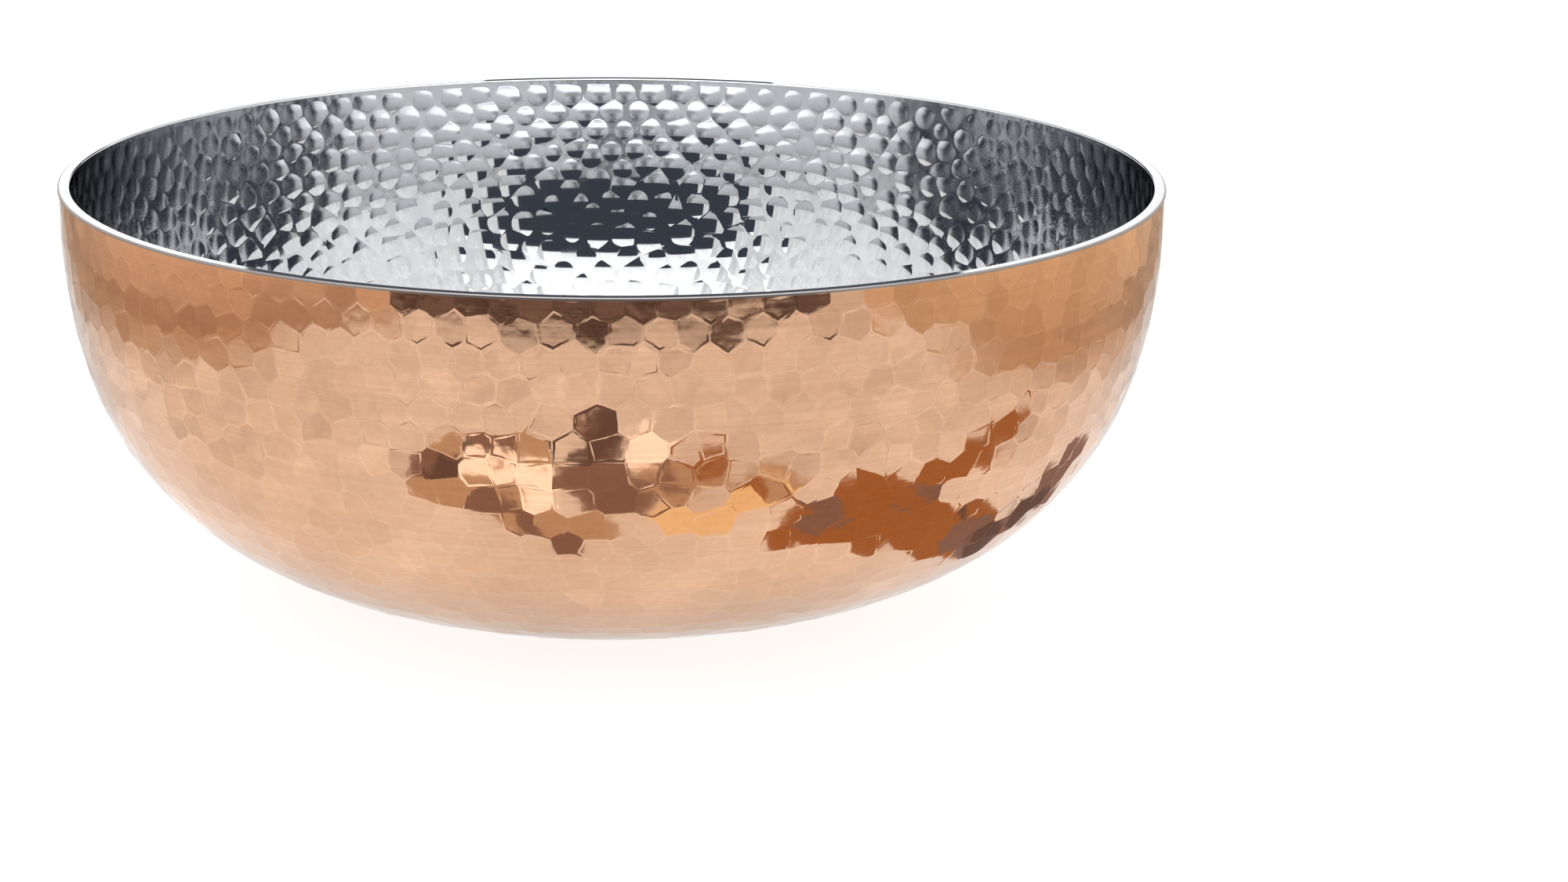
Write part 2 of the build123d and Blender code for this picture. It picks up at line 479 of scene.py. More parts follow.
class HammeredFace:
    """Covers a wall with hammer marks. facing is 1 for the outside of the bowl and -1 for the inside."""

    def __init__(self, skin, wall, blows, mark, facing, rng):
        self.skin, self.wall, self.mark, self.rng, self.flip = skin, wall, mark, rng, facing < 0
        corners, cells = voronoi_cells(wall, blows)
        outlines = [cell_sides(corners, cell, blow) for cell, blow in zip(cells, blows)]
        lifts = rng.normal(0, mark.uneven, len(corners)) * force(wall, corners[:, 1])
        self.marks = [mark(wall, points[::2], lifts[cell], rng) for (points, _), cell in zip(outlines, cells)]
        self.share_outlines(outlines, facing)
        for (points, names), marked in zip(outlines, self.marks):
            loop = [self.shared[name] for name in names]
            skin.tone = rng.random()
            if mark is Facet:
                heights = np.array([self.height[name] for name in names])
                self.fill_facet(points, loop, heights, marked)
            else:
                self.fill_dimple(points, loop, marked)
        skin.tone = PLAIN_TONE

    def share_outlines(self, outlines, facing):
        """One mesh point for each outline point, at the mean height of the marks that meet there."""
        lifts, tilts, strip = {}, {}, {}
        for (points, names), marked in zip(outlines, self.marks):
            places, outward = self.wall.place(points[:, 0], points[:, 1])
            lift, normal = marked.shape(places, outward)
            for n, name in enumerate(names):
                lifts.setdefault(name, []).append(lift[n])
                tilts.setdefault(name, []).append(normal[n])
                strip[name] = points[n]
        names = list(strip)
        at = np.array([strip[name] for name in names])
        places, outward = self.wall.place(at[:, 0], at[:, 1])
        lift = np.array([np.mean(lifts[name]) for name in names])
        normals = np.array([np.mean(tilts[name], axis=0) for name in names])
        low, high = at[:, 1] < TINY, at[:, 1] > self.wall.top - TINY
        if self.mark is Facet:
            crest = np.maximum(self.rng.normal(FACET_CREST, FACET_CREST_SPREAD, len(names)), 0)
            lift += crest * force(self.wall, at[:, 1])
            lift[high] = np.minimum(lift[high], 0)
            smooth = low
        else:
            smooth = low | high
        lift[smooth] = 0
        normals[smooth] = outward[smooth] * facing
        indices = self.skin.add(places + outward * lift[:, None], normals)
        self.low_loop = self.edge_loop(at, indices, low)
        self.high_loop = self.edge_loop(at, indices, high)
        self.shared = dict(zip(names, indices))
        self.height = dict(zip(names, lift))

    def edge_loop(self, at, indices, chosen):
        """The mesh points along one edge of the strip, and their turns, in order."""
        turns = at[chosen, 0] % FULL_TURN
        order = np.argsort(turns)
        return np.array(indices)[chosen][order].tolist(), turns[order]

    def ring(self, marked, centre, flat, rise=0.0, lean=0.0):
        """Mesh points on a mark, at places on the sheet laid flat. They may stand a little above the mark,
        on a slope that climbs away from its middle."""
        turn, climb = self.wall.unflatten(centre, flat)
        places, outward = self.wall.place(turn, climb)
        lift, normals = marked.shape(places, outward)
        away = places - marked.point
        away /= np.maximum(np.linalg.norm(away, axis=1, keepdims=True), TINY)
        slope = np.broadcast_to(lean, len(places))[:, None]
        return self.skin.add(places + outward * (lift + rise)[:, None], normals - away * slope)

    def fill_facet(self, points, loop, heights, marked):
        """A flat middle, with an edge round it that climbs in two steps to the shared outline."""
        centre = points.mean(axis=0)
        flat = self.wall.flatten(centre, points[:, 0], points[:, 1])
        reach = np.hypot(flat[:, 0], flat[:, 1])
        edge = np.minimum(FACET_EDGE, FACET_EDGE_SHARE * reach)
        rise = heights - marked.shape(*self.wall.place(points[:, 0], points[:, 1]))[0]
        halfway = flat * (1 - 0.5 * edge / reach)[:, None]
        slope = self.ring(marked, centre, halfway, 0.5 * rise, rise / edge)
        ring = self.ring(marked, centre, flat * (1 - edge / reach)[:, None])
        tip = self.ring(marked, centre, np.zeros((1, 2)))
        self.skin.bridge(slope, ring, self.flip)
        self.skin.fan(ring, tip[0], self.flip)
        # The raised edge takes the crest tone, which paints a lighter copper on it: painted highlight
        self.skin.tone = CREST_HIGHLIGHT_TONE
        self.skin.bridge(loop, slope, self.flip)

    def fill_dimple(self, points, loop, marked):
        """A round cap, with flat metal round it out to the shared outline."""
        centre = points.mean(axis=0)
        flat = self.wall.flatten(centre, points[:, 0], points[:, 1])
        loop_angles = np.arctan2(flat[:, 1], flat[:, 0])
        order = np.argsort(loop_angles)
        loop = [loop[n] for n in order]
        loop_angles = loop_angles[order]
        angles = (np.arange(DIMPLE_POINTS) + 0.5) * FULL_TURN / DIMPLE_POINTS - pi
        directions = np.stack([np.cos(angles), np.sin(angles)], axis=1)
        room = distance_to_sides(flat, angles)
        brim_reach = np.minimum(marked.radius + DIMPLE_EDGE, BRIM_SHARE * room)
        lip_reach = np.minimum(marked.radius - DIMPLE_EDGE, LIP_SHARE * room)
        brim = self.ring(marked, centre, directions * brim_reach[:, None])
        lip = self.ring(marked, centre, directions * lip_reach[:, None])
        middle = self.ring(marked, centre, directions[::2] * MIDDLE_SHARE * marked.radius)
        tip = self.ring(marked, centre, np.zeros((1, 2)))
        self.skin.zip(loop, loop_angles, brim, angles, self.flip)
        self.skin.bridge(brim, lip, self.flip)
        self.skin.zip(lip, angles, middle, angles[::2], self.flip)
        self.skin.fan(middle, tip[0], self.flip)


def copper_underside(facets_start):
    """Section of the copper from the edge of its vent hole, under the base, to where the facets start."""
    return np.concatenate([
        run((VENT_RADIUS, RECESS_TOP), (VENT_RADIUS, RECESS_DEPTH)),
        run((VENT_RADIUS, RECESS_DEPTH), (RECESS_RADIUS, RECESS_DEPTH)),
        run((RECESS_RADIUS, RECESS_DEPTH), (SLOPE_END, 0), CRISP_SLOPE),
        run((SLOPE_END, 0), facets_start)])


def copper_back():
    """Section of the copper's hidden inner face, from its top edge down to the vent hole."""
    inside = COPPER_RADIUS - COPPER_SHEET
    return np.concatenate([
        run((inside, COPPER_TOP), (inside, WALL_CENTRE_HEIGHT)),
        backwards(wall_section(COPPER_SHEET, COPPER_BACK_STEPS)),
        run((BASE_RADIUS, COPPER_SHEET), (SLOPE_END, COPPER_SHEET)),
        run((SLOPE_END, COPPER_SHEET), (RECESS_RADIUS, RECESS_TOP)),
        run((RECESS_RADIUS, RECESS_TOP), (VENT_RADIUS, RECESS_TOP))])


def outer_shell(material):
    """Copper shell: hammered outside, smooth base that the bowl stands on, plain hidden back."""
    rng = np.random.default_rng(11)
    hammered_top = LIP_BOTTOM + FACETS_BEHIND_LIP
    section = np.concatenate([wall_section(0, FACE_STEPS), [(COPPER_RADIUS, hammered_top, pi / 2)]])
    start = np.array([np.interp(FACETS_START, section[:FACE_STEPS, 0], column[:FACE_STEPS])
                      for column in section.T])
    wall = Wall(np.concatenate([[start], section[section[:, 0] > FACETS_START]]))
    skin = Skin()
    blows = hammer_blows(wall, FACET_PITCH, FACET_ROW, FACET_STRAY, rng, FACETS_UNDER_LIP)
    face = HammeredFace(skin, wall, blows, Facet, 1, rng)
    low_loop, low_turns = face.low_loop
    high_loop, high_turns = face.high_loop
    first, last = skin.lathe(copper_underside(start[:2]), low_turns)
    skin.bridge(last, low_loop)
    rim = run((COPPER_RADIUS, hammered_top), (COPPER_RADIUS, COPPER_TOP), CRISP_TOP)
    rim_bottom, rim_top = skin.lathe(rim[1:], high_turns)
    skin.bridge(high_loop, rim_bottom)
    back_top, back_end = skin.lathe(copper_back(), low_turns)
    skin.zip(rim_top, high_turns, back_top, low_turns)
    skin.bridge(back_end, first)
    return skin.build("hammered_outer_shell", material)


def lining_back():
    """Section of the lining's hidden back, up through the fold and out over the outer edge of the lip."""
    skirt = LIP_RADIUS - STEEL_SHEET
    fold = LIP_ROUND - STEEL_SHEET
    return np.concatenate([
        [(BACK_DISC, STEEL_DEPTH, 0.0)],
        wall_section(STEEL_DEPTH, LINING_BACK_STEPS),
        [(LINING_RADIUS + STEEL_SHEET, BEND_HEIGHT, pi / 2)],
        bend(INNER_BEND, BEND_HEIGHT, fold, pi, pi / 2, FOLD_STEPS),
        bend(OUTER_BEND, BEND_HEIGHT, fold, pi / 2, 0, FOLD_STEPS),
        run((skirt, BEND_HEIGHT), (skirt, LIP_BOTTOM))[1:],
        run((skirt, LIP_BOTTOM), (LIP_RADIUS, LIP_BOTTOM)),
        run((LIP_RADIUS, LIP_BOTTOM), (LIP_RADIUS, BEND_HEIGHT), CRISP_SKIRT),
        bend(OUTER_BEND, BEND_HEIGHT, LIP_ROUND, 0, pi / 2, LIP_STEPS)])


def inner_shell(material):
    """Steel lining: dimpled inside, smooth lip folded over the copper, plain hidden back."""
    rng = np.random.default_rng(23)
    section = np.concatenate([
        [(DIMPLES_START, LINING_DEPTH, 0.0)],
        wall_section(LINING_DEPTH, FACE_STEPS),
        [(LINING_RADIUS, BOWL_HEIGHT - PLAIN_BAND, pi / 2)]])
    wall = Wall(section)
    skin = Skin()
    blows = hammer_blows(wall, DIMPLE_PITCH, DIMPLE_ROW, DIMPLE_STRAY, rng)
    face = HammeredFace(skin, wall, blows, Dimple, -1, rng)
    high_loop, high_turns = face.high_loop
    # Painted shade: the hidden back, the lip's outer bend and its skirt take a darker, duller steel
    skin.tone = SKIRT_SHADE_TONE
    first, skirt_top = skin.lathe(lining_back(), high_turns)
    skin.tone = PLAIN_TONE
    crown = bend(INNER_BEND, BEND_HEIGHT, LIP_ROUND, pi / 2, pi, LIP_STEPS)
    crown_start, last = skin.lathe(crown, high_turns)
    skin.bridge(skirt_top, crown_start)
    skin.bridge(last, high_loop)
    back_tip = skin.add([(0, 0, STEEL_DEPTH)], [(0, 0, -1)])
    skin.fan(first, back_tip[0], flip=True)
    low_loop, low_turns = face.low_loop
    disc = round_the_axis(low_turns, LINING_DISC, LINING_DEPTH)
    ring = skin.add(disc, [(0, 0, 1)] * len(disc))
    skin.bridge(ring, low_loop, flip=True)
    tip = skin.add([(0, 0, LINING_DEPTH - DIMPLE_DEPTH)], [(0, 0, 1)])
    skin.fan(ring, tip[0])
    return skin.build("dimpled_inner_shell", material)


# ---- materials

COPPER = {
    "pale": (0.785, 0.478, 0.305),
    "deep": (0.725, 0.420, 0.255),
    # Lighter copper: random tone of the facets, and the painted highlight on their raised edges
    "facet_tone_and_crest_highlight": (0.83, 0.525, 0.345),
    "worn": (0.64, 0.35, 0.21),
    "mottled": (0.66, 0.37, 0.22),
    "pitted": (0.25, 0.12, 0.07)}
STEEL = {
    "cool": (0.62, 0.635, 0.66),
    "pale": (0.70, 0.705, 0.71),
    # Darker steel for the lip's outer bend and skirt: painted shade of the seam under the lip
    "skirt_shade": (0.34, 0.31, 0.30)}
PIT_SPACING = 6 * MM
PIT_SIZE = 0.12 * MM

# Most of a noise's values lie between these
NOISE_LOW = 0.3
NOISE_HIGH = 0.7


def new_material(name):
    """A new material, and its node tree."""
    material = bpy.data.materials.new(name)
    material.use_nodes = True
    return material, material.node_tree


def new_metal(name):
    """A new metal, its node tree and its shader."""
    material, tree = new_material(name)
    shader = tree.nodes["Principled BSDF"]
    shader.inputs["Metallic"].default_value = 1.0
    return material, tree, shader


def stretched(tree, scale):
    """Object coordinates, stretched to this many features of a texture a metre. It may differ each way."""
    place = tree.nodes.new("ShaderNodeTexCoord")
    mapping = tree.nodes.new("ShaderNodeMapping")
    mapping.inputs["Scale"].default_value = np.broadcast_to(scale, 3)
    tree.links.new(place.outputs["Object"], mapping.inputs["Vector"])
    return mapping.outputs["Vector"]


def noise(tree, scale, detail=2.0):
    """Noise with this many features a metre. It may differ each way."""
    node = tree.nodes.new("ShaderNodeTexNoise")
    node.inputs["Scale"].default_value = 1.0
    node.inputs["Detail"].default_value = detail
    tree.links.new(stretched(tree, scale), node.inputs["Vector"])
    return node.outputs["Fac"]


def between(tree, value, low, high, start=NOISE_LOW, end=NOISE_HIGH):
    """Carries a value's range from start to end over to the range from low to high, and holds it there."""
    node = tree.nodes.new("ShaderNodeMapRange")
    node.inputs["From Min"].default_value = start
    node.inputs["From Max"].default_value = end
    node.inputs["To Min"].default_value = low
    node.inputs["To Max"].default_value = high
    tree.links.new(value, node.inputs["Value"])
    return node.outputs["Result"]


def soft_between(tree, value, low, high, start, end):
    """Like between, with a soft start and end."""
    result = between(tree, value, low, high, start, end)
    result.node.interpolation_type = "SMOOTHSTEP"
    return result


def combine(tree, operation, first, second):
    """Arithmetic on two values, each of them fixed or from a node."""
    node = tree.nodes.new("ShaderNodeMath")
    node.operation = operation
    for socket, value in zip(node.inputs, (first, second)):
        if isinstance(value, float):
            socket.default_value = value
        else:
            tree.links.new(value, socket)
    return node.outputs[0]


def blend(tree, factor, first, second):
    """Mixes two colours, each of them fixed or from a node."""
    node = tree.nodes.new("ShaderNodeMix")
    node.data_type = "RGBA"
    tree.links.new(factor, node.inputs["Factor"])
    for socket, colour in ((node.inputs["A"], first), (node.inputs["B"], second)):
        if isinstance(colour, tuple):
            socket.default_value = (*colour, 1)
        else:
            tree.links.new(colour, socket)
    return node.outputs["Result"]


def bump(tree, height, depth, before=None):
    """Normals of a relief this deep, on top of those of another one if there is one before it."""
    node = tree.nodes.new("ShaderNodeBump")
    node.inputs["Strength"].default_value = 1.0
    node.inputs["Distance"].default_value = depth
    tree.links.new(height, node.inputs["Height"])
    if before:
        tree.links.new(before, node.inputs["Normal"])
    return node.outputs["Normal"]


def pits(tree, spacing, size):
    """Tiny specks, one here and there: 1 in a speck and 0 around it."""
    node = tree.nodes.new("ShaderNodeTexVoronoi")
    node.inputs["Scale"].default_value = 1.0
    tree.links.new(stretched(tree, 1 / spacing), node.inputs["Vector"])
    return between(tree, node.outputs["Distance"], 1.0, 0.0, 0.5 * size / spacing, size / spacing)


def face_tone(tree):
    """The tone that the mesh gives to each face."""
    node = tree.nodes.new("ShaderNodeAttribute")
    node.attribute_name = "tone"
    return node.outputs["Fac"]


def copper():
    """Polished copper: brushed round the bowl, a little uneven in tone, with a painted highlight on the
    facets' raised edges, fine pits and a soft haze.
    """
    material, tree, shader = new_metal("hammered_copper")
    patches = noise(tree, (14, 14, 22), 4.0)
    streaks = noise(tree, (12, 12, 1300), 3.0)
    grain = noise(tree, 900)
    mottle = noise(tree, 420, 3.0)
    ripple = noise(tree, 170, 1.5)
    tones = [
        # Each facet's own tone, and on the raised edges a lighter copper: painted highlight
        (between(tree, face_tone(tree), 0.0, 0.55, 0.0, CREST_HIGHLIGHT_TONE), "facet_tone_and_crest_highlight"),
        (between(tree, streaks, 0.0, 0.3, 0.35, 0.65), "worn"),
        (between(tree, mottle, 0.0, 0.35, 0.4, 0.7), "mottled"),
        (pits(tree, PIT_SPACING, PIT_SIZE), "pitted")]
    colour = blend(tree, between(tree, patches, 0.0, 1.0), COPPER["pale"], COPPER["deep"])
    for share, tone in tones:
        colour = blend(tree, share, colour, COPPER[tone])
    tree.links.new(colour, shader.inputs["Base Color"])
    haze = combine(tree, "ADD", between(tree, patches, 0.04, 0.10),
                   between(tree, streaks, -0.015, 0.025))
    tree.links.new(haze, shader.inputs["Roughness"])
    rippled = bump(tree, ripple, 0.055 * MM)
    scratches = bump(tree, streaks, 0.002 * MM, rippled)
    tree.links.new(bump(tree, grain, 0.0015 * MM, scratches), shader.inputs["Normal"])
    return material


def bright_steel():
    """Bright steel, polished to a near mirror, with faint brushing and a cool tint, and darker, duller steel
    on the lip's skirt as painted shade.
    """
    material, tree, shader = new_metal("bright_steel")
    patches = noise(tree, (20, 20, 30), 4.0)
    streaks = noise(tree, (15, 15, 1100), 3.0)
    # Darker, duller steel where the skirt tone is: painted shade of the seam under the lip
    painted_skirt_shade = between(tree, face_tone(tree), 0.0, 1.0, CREST_HIGHLIGHT_TONE, SKIRT_SHADE_TONE)
    colour = blend(tree, patches, STEEL["cool"], STEEL["pale"])
    colour = blend(tree, painted_skirt_shade, colour, STEEL["skirt_shade"])
    tree.links.new(colour, shader.inputs["Base Color"])
    haze = combine(tree, "ADD", between(tree, patches, 0.03, 0.07),
                   between(tree, streaks, -0.01, 0.02))
    dull = combine(tree, "MULTIPLY", painted_skirt_shade, 0.25)
    tree.links.new(combine(tree, "ADD", haze, dull), shader.inputs["Roughness"])
    tree.links.new(bump(tree, streaks, 0.0015 * MM), shader.inputs["Normal"])
    return material


def dull_metal(name, light, dark, roughness, depth):
    """Unpolished metal with a mottled tone and a rough skin."""
    material, tree, shader = new_metal(name)
    mottle = noise(tree, 260, 4.0)
    tree.links.new(blend(tree, mottle, dark, light), shader.inputs["Base Color"])
    rough = between(tree, mottle, roughness + 0.1, roughness - 0.1, 0.0, 1.0)
    tree.links.new(rough, shader.inputs["Roughness"])
    tree.links.new(bump(tree, mottle, depth), shader.inputs["Normal"])
    return material


# ---- studio

CAMERA_DISTANCE = 1.0667
CAMERA_ELEVATION = radians(11.36)
CAMERA_AIM = (0.0517, 0, 0.0405)
CAMERA_ROLL = 0.0123
LENS_MM = 81
SENSOR_MM = 36

# The light tent, in metres, and the opening in its front
TENT_SIDE = 0.45
TENT_FRONT = -0.45
TENT_BACK = 0.70
TENT_TOP = 0.90
CEILING_BACK = 0.42
OPENING_HALF = 0.32
OPENING_TOP = 0.42
OPENING_FOOT_LEFT = -0.37
OPENING_FOOT_RIGHT = 0.29
OPENING_LEAN = 0.10

# The table's round front end, and the dark floor of the room beyond it
TABLE_END = 0.62
TABLE_BEND = 0.75
TABLE_ARC = (radians(-125), radians(-55))
ROUND_POINTS = 24
ROOM_HALF = 2.0
ROOM_FRONT = -3.0
FLOOR_HALF = 40.0

# Where the paper's light and colour change: by the distance from the bowl's axis, by y and by x
UNDER_BOWL = (0.09, 0.15)
NEAR_BOWL = (0.20, 0.30)
BEHIND_BOWL = (0.0, 0.25)
FRONT_END = (-TABLE_END, -0.48)
LEFT_CORNER = (-0.30, -0.20)
RIGHT_CORNER = (-0.30, -0.10)
LEFT_SIDE = (-0.41, -0.29)
RIGHT_SIDE = (0.26, 0.36)

WHITE = (1.0, 1.0, 1.0)

# Strength of the tent's light, and colours of its cloths as shares of it
CEILING = 2.4
PALE_CLOTH = (0.40, 0.40, 0.405)
BRIGHT_CLOTH = (0.47, 0.47, 0.47)
FRONT_CLOTH = (0.37, 0.37, 0.37)
HIGH_FRONT_CLOTH = (0.42, 0.42, 0.42)
LIT_BACK = (0.54, 0.54, 0.54)
DIM_BACK = (0.26, 0.26, 0.27)

# Light of other things that the bowl mirrors
TAN = (0.66, 0.51, 0.38)
GROUND = (0.17, 0.132, 0.125)
SHADE = (0.09, 0.10, 0.12)
ROOM = (0.055, 0.062, 0.08)

# Heights and colours of each cloth, warmest near the table
TENT_CLOTHS = {
    "tent_left": [(0.0, (0.19, 0.135, 0.10)), (0.015, (0.24, 0.18, 0.14)), (0.05, (0.33, 0.27, 0.22)),
                  (0.2, PALE_CLOTH), (0.5, BRIGHT_CLOTH)],
    "tent_foot": [(0.0, (0.24, 0.18, 0.14)), (0.05, (0.33, 0.27, 0.22)), (0.2, FRONT_CLOTH),
                  (0.6, HIGH_FRONT_CLOTH)],
    "tent_right": [(0.0, (0.29, 0.23, 0.17)), (0.05, (0.35, 0.29, 0.22)), (0.2, PALE_CLOTH),
                   (0.5, BRIGHT_CLOTH)],
    "tent_front": [(0.0, (0.34, 0.33, 0.32)), (0.2, FRONT_CLOTH), (0.6, HIGH_FRONT_CLOTH)],
    "tent_over": [(0.4, (0.55, 0.55, 0.55)), (0.6, (0.66, 0.66, 0.66))],
    "tent_back": [(0.05, (0.30, 0.29, 0.28)), (0.24, LIT_BACK), (0.42, LIT_BACK), (0.5, DIM_BACK)]}

# Dark cloths hung just in front of the back wall: left, right, top and bottom
BACK_SHADES = {
    "back_shade_low": (-0.065, 0.078, 0.26, 0.15),
    "back_shade_high": (-0.185, 0.175, 0.42, 0.26)}
SHADE_GAP = 0.01


def studio_camera():
    """Camera at the height and distance of a table-top product view, a little off the bowl's axis."""
    rim_centre = Vector((0, 0, BOWL_HEIGHT))
    towards = Vector((0, -cos(CAMERA_ELEVATION), sin(CAMERA_ELEVATION)))
    location = rim_centre + CAMERA_DISTANCE * towards
    data = bpy.data.cameras.new("camera")
    data.sensor_width = SENSOR_MM
    data.lens = LENS_MM
    camera = bpy.data.objects.new("camera", data)
    camera.location = location
    turn = (Vector(CAMERA_AIM) - location).to_track_quat("-Z", "Y")
    camera.rotation_mode = "QUATERNION"
    camera.rotation_quaternion = turn @ Euler((0, 0, CAMERA_ROLL)).to_quaternion()
    bpy.context.collection.objects.link(camera)
    bpy.context.scene.camera = camera


def board(name, material, outlines, seen=False):
    """Flat boards of the studio. Unless they are seen, they are there only in the bowl's reflections."""
    mesh = bpy.data.meshes.new(name)
    corners = [corner for outline in outlines for corner in outline]
    ends = np.cumsum([len(outline) for outline in outlines])
    faces = [tuple(range(end - len(outline), end)) for end, outline in zip(ends, outlines)]
    mesh.from_pydata(corners, [], faces)
    mesh.materials.append(material)
    piece = bpy.data.objects.new(name, mesh)
    bpy.context.collection.objects.link(piece)
    if seen:
        piece.visible_glossy = False
    else:
        piece.visible_camera = False
        piece.visible_diffuse = False
        piece.visible_shadow = False
        piece.visible_transmission = False


def level(left, right, front, back, height=0.0):
    """Outline of a level board."""
    return [[(left, front, height), (right, front, height), (right, back, height), (left, back, height)]]


def facing_y(left, right, y, top, bottom=0.0):
    """Outline of an upright board that runs from left to right."""
    return [[(left, y, bottom), (right, y, bottom), (right, y, top), (left, y, top)]]


def facing_x(x, front, back, top):
    """Outline of an upright board that runs from front to back."""
    return [[(x, front, 0), (x, back, 0), (x, back, top), (x, front, top)]]


def front_side(side, foot, edge):
    """Cloth beside the tent's front opening. Its inner edge leans at the foot, and is upright above that."""
    return [[(side, TENT_FRONT, 0), (foot, TENT_FRONT, 0), (edge, TENT_FRONT, OPENING_LEAN),
             (edge, TENT_FRONT, TENT_TOP), (side, TENT_FRONT, TENT_TOP)]]


def round_end():
    """The table's front end, a flat arc that reaches out of the tent."""
    turns = np.linspace(*TABLE_ARC, ROUND_POINTS)
    arc = [(TABLE_BEND * cos(turn), TABLE_END * sin(turn), 0) for turn in turns]
    return [[*arc, (arc[-1][0], TENT_FRONT, 0), (arc[0][0], TENT_FRONT, 0)]]


def glow(name, colour, strength=1.0):
    """A material that shines evenly, and its emission node."""
    material, tree = new_material(name)
    tree.nodes.clear()
    output = tree.nodes.new("ShaderNodeOutputMaterial")
    emission = tree.nodes.new("ShaderNodeEmission")
    emission.inputs["Color"].default_value = (*colour, 1)
    emission.inputs["Strength"].default_value = strength
    tree.links.new(emission.outputs[0], output.inputs["Surface"])
    return material, emission


def tent_cloth(name, stops):
    """Lit cloth, with its colour at each height, and soft folds."""
    material, emission = glow(name, WHITE, CEILING)
    tree = material.node_tree
    place = tree.nodes.new("ShaderNodeTexCoord")
    split = tree.nodes.new("ShaderNodeSeparateXYZ")
    shade = tree.nodes.new("ShaderNodeValToRGB")
    elements = shade.color_ramp.elements
    while len(elements) < len(stops):
        elements.new(1.0)
    for element, (height, colour) in zip(elements, stops):
        element.position = height
        element.color = (*colour, 1)
    tree.links.new(place.outputs["Object"], split.inputs[0])
    tree.links.new(split.outputs["Z"], shade.inputs["Fac"])
    tree.links.new(shade.outputs["Color"], emission.inputs["Color"])
    folds = between(tree, noise(tree, (14, 14, 6)), 0.86 * CEILING, 1.14 * CEILING)
    tree.links.new(folds, emission.inputs["Strength"])
    return material


def paper_light(tree, y, away):
    """Light of the paper, dimmer under the bowl, behind it and at the table's front end. Its clouds and
    creases show up the hammer marks, but close to the bowl it is bright and nearly even."""
    crease = between(tree, noise(tree, 45), 0.82, 1.12)
    shares = [
        soft_between(tree, y, 0.6, 1.0, *FRONT_END),
        soft_between(tree, y, 1.0, 0.78, *BEHIND_BOWL),
        soft_between(tree, away, 0.78, 1.0, *UNDER_BOWL),
        between(tree, noise(tree, 16), 0.90, 1.09)]
    light = combine(tree, "MAXIMUM", crease, soft_between(tree, away, 1.03, 0.0, *NEAR_BOWL))
    for share in shares:
        light = combine(tree, "MULTIPLY", light, share)
    return light


def paper_colour(tree, x, y):
    """Colour of the paper: white, and tan at both its sides, except in the front corners."""
    left = combine(tree, "MULTIPLY", soft_between(tree, x, 1.0, 0.0, *LEFT_SIDE),
                   soft_between(tree, y, 0.0, 1.0, *LEFT_CORNER))
    right = combine(tree, "MULTIPLY", soft_between(tree, x, 0.0, 1.0, *RIGHT_SIDE),
                    soft_between(tree, y, 0.0, 1.0, *RIGHT_CORNER))
    return blend(tree, combine(tree, "ADD", left, right), WHITE, TAN)


def paper():
    """The paper under the bowl, as the bowl mirrors it."""
    material, emission = glow("table_paper", WHITE)
    tree = material.node_tree
    place = tree.nodes.new("ShaderNodeTexCoord")
    split = tree.nodes.new("ShaderNodeSeparateXYZ")
    away = tree.nodes.new("ShaderNodeVectorMath")
    away.operation = "LENGTH"
    tree.links.new(place.outputs["Object"], split.inputs[0])
    tree.links.new(place.outputs["Object"], away.inputs[0])
    x, y = split.outputs["X"], split.outputs["Y"]
    tree.links.new(paper_light(tree, y, away.outputs["Value"]), emission.inputs["Strength"])
    tree.links.new(paper_colour(tree, x, y), emission.inputs["Color"])
    return material


def dark_ground():
    """Floor of the dark room, with broad streaks of light on it."""
    material, emission = glow("dark_ground", GROUND)
    tree = material.node_tree
    streaks = between(tree, noise(tree, (24, 9, 9)), 0.3, 1.5)
    tree.links.new(streaks, emission.inputs["Strength"])
    return material


def tent():
    """White light tent round a paper table. A gap in its front opens on a dark room."""
    cloths = {name: tent_cloth(name, stops) for name, stops in TENT_CLOTHS.items()}
    walls = {
        "left_wall": ("tent_left", facing_x(-TENT_SIDE, TENT_FRONT, TENT_BACK, TENT_TOP)),
        "right_wall": ("tent_right", facing_x(TENT_SIDE, TENT_FRONT, TENT_BACK, TENT_TOP)),
        "back_wall": ("tent_back", facing_y(-TENT_SIDE, TENT_SIDE, TENT_BACK, TENT_TOP)),
        "front_left": ("tent_foot", front_side(-TENT_SIDE, OPENING_FOOT_LEFT, -OPENING_HALF)),
        "front_right": ("tent_front", front_side(TENT_SIDE, OPENING_FOOT_RIGHT, OPENING_HALF)),
        "front_top": ("tent_over", facing_y(-OPENING_HALF, OPENING_HALF, TENT_FRONT, TENT_TOP, OPENING_TOP))}
    for name, (cloth, outlines) in walls.items():
        board(name, cloths[cloth], outlines)
    shade, _ = glow("shade", SHADE)
    for name, (left, right, top, bottom) in BACK_SHADES.items():
        board(name, shade, facing_y(left, right, TENT_BACK - SHADE_GAP, top, bottom))
    ceiling, _ = glow("tent_top", WHITE, CEILING)
    board("ceiling", ceiling, level(-TENT_SIDE, TENT_SIDE, TENT_FRONT, CEILING_BACK, TENT_TOP))
    dim, _ = glow("tent_top_back", DIM_BACK, CEILING)
    board("ceiling_back", dim, level(-TENT_SIDE, TENT_SIDE, CEILING_BACK, TENT_BACK, TENT_TOP))
    white = paper()
    board("table", white, level(-TENT_SIDE, TENT_SIDE, TENT_FRONT, TENT_BACK))
    board("table_front", white, round_end())
    board("room_floor", dark_ground(), level(-ROOM_HALF, ROOM_HALF, ROOM_FRONT, TENT_FRONT, -MM))


# ---- cards

